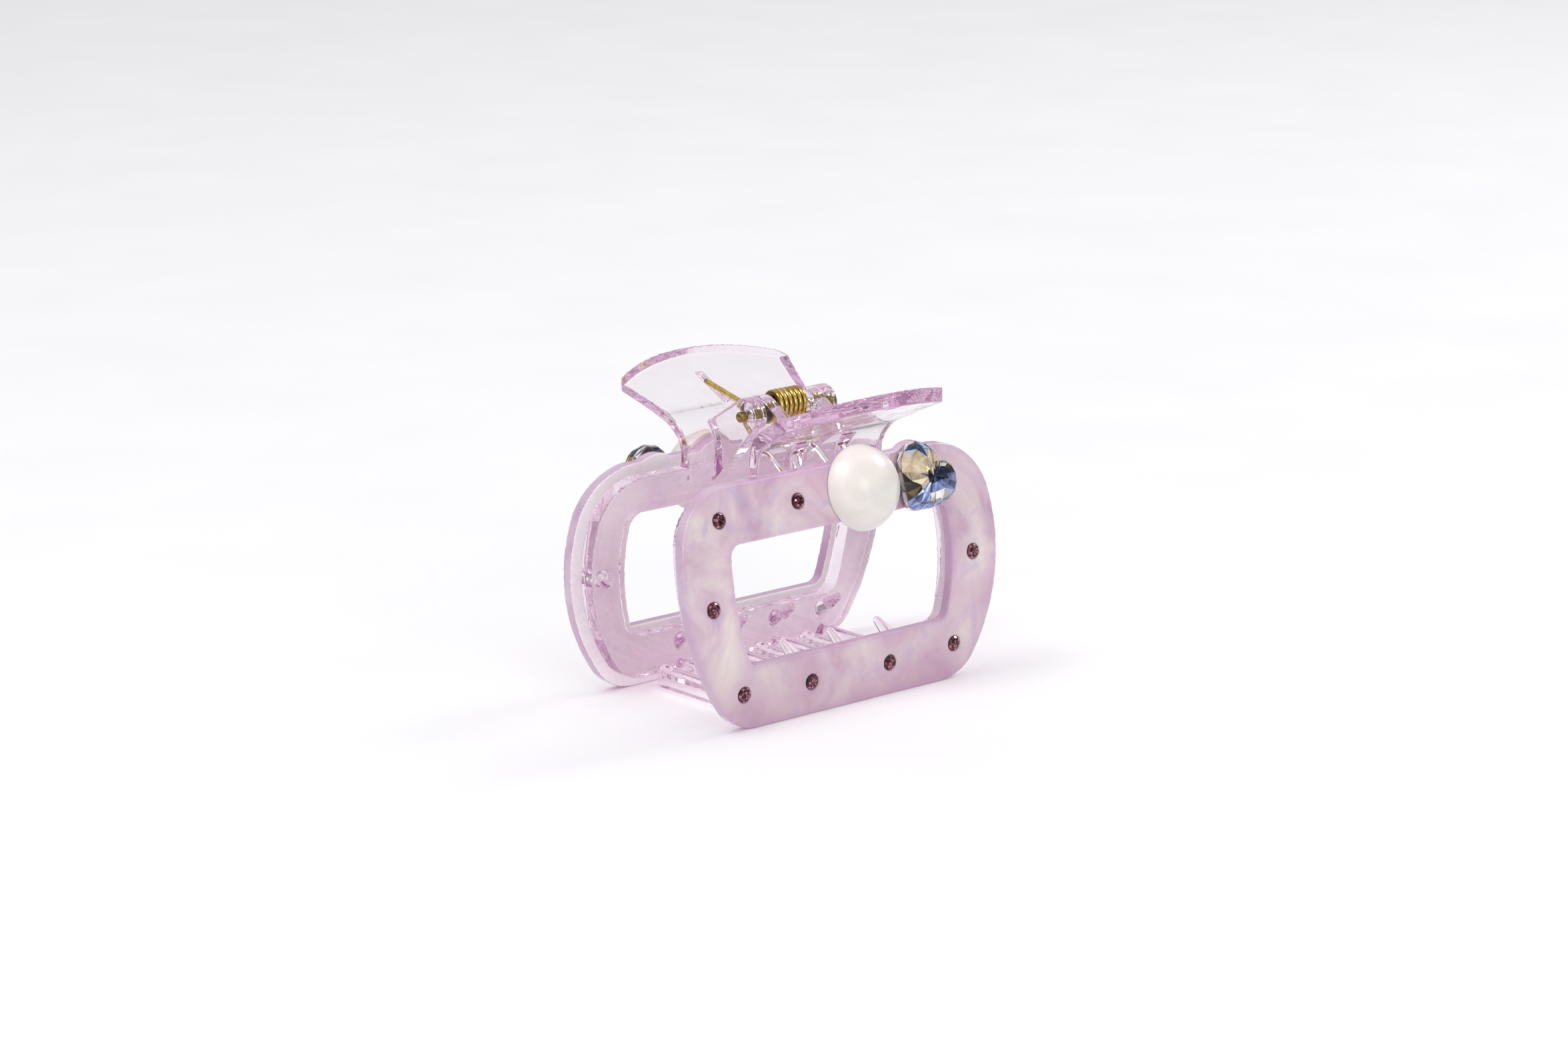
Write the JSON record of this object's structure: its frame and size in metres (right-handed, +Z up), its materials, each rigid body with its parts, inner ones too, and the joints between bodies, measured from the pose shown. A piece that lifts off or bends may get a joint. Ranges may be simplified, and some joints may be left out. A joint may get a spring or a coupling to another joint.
{
  "type": "claw clip",
  "caption": "Spring claw clip for hair in clear lilac plastic with pearlescent windowed plates, half pearls, heart crystals and small rhinestones",
  "frame": {"origin": "on the floor, midway between the two jaws, under the hinge pin", "axes": "+X along the hinge pin, to the right seen from the front; +Y from the front jaw to the rear jaw; +Z up; the clip is closed and stands on its face plates"},
  "size_m": [0.0562, 0.042, 0.0446],
  "materials": {
    "clear_plastic": "clear pale pink-lilac plastic, polished, deeper purple at thick edges",
    "pearlescent_plastic": "lavender-pink pearlescent plastic with cream and bluish clouding",
    "brass": "bright drawn brass-coloured wire and pin",
    "pearl": "satin off-white imitation pearl",
    "crystal": "foil-backed cut crystal, brown, champagne and blue",
    "rhinestone": "foil-backed burgundy rhinestone"
  },
  "bodies": {
    "rear": {"rear_jaw": "clear_plastic", "rear_face_plate": "pearlescent_plastic", "rear_pearl": "pearl", "rear_heart_crystal": "crystal", "hinge_pin": "brass", "torsion_spring": "brass", "rear_rhinestone_1": "rhinestone", "rear_rhinestone_2": "rhinestone", "rear_rhinestone_3": "rhinestone", "rear_rhinestone_4": "rhinestone", "rear_rhinestone_5": "rhinestone", "rear_rhinestone_6": "rhinestone", "rear_rhinestone_7": "rhinestone"},
    "front": {"front_jaw": "clear_plastic", "front_face_plate": "pearlescent_plastic", "front_pearl": "pearl", "front_heart_crystal": "crystal", "front_rhinestone_1": "rhinestone", "front_rhinestone_2": "rhinestone", "front_rhinestone_3": "rhinestone", "front_rhinestone_4": "rhinestone", "front_rhinestone_5": "rhinestone", "front_rhinestone_6": "rhinestone", "front_rhinestone_7": "rhinestone", "front_rhinestone_8": "rhinestone"}
  },
  "joints": [
    {"name": "jaw_hinge", "type": "hinge", "parent": "rear", "child": "front", "pos_m": [0, 0, 0.039], "axis": [-1, 0, 0], "range_deg": [0, 149], "stiffness_Nm_per_rad": 0.031, "springref_deg": -85.94, "deforming": ["torsion_spring"]}
  ]
}
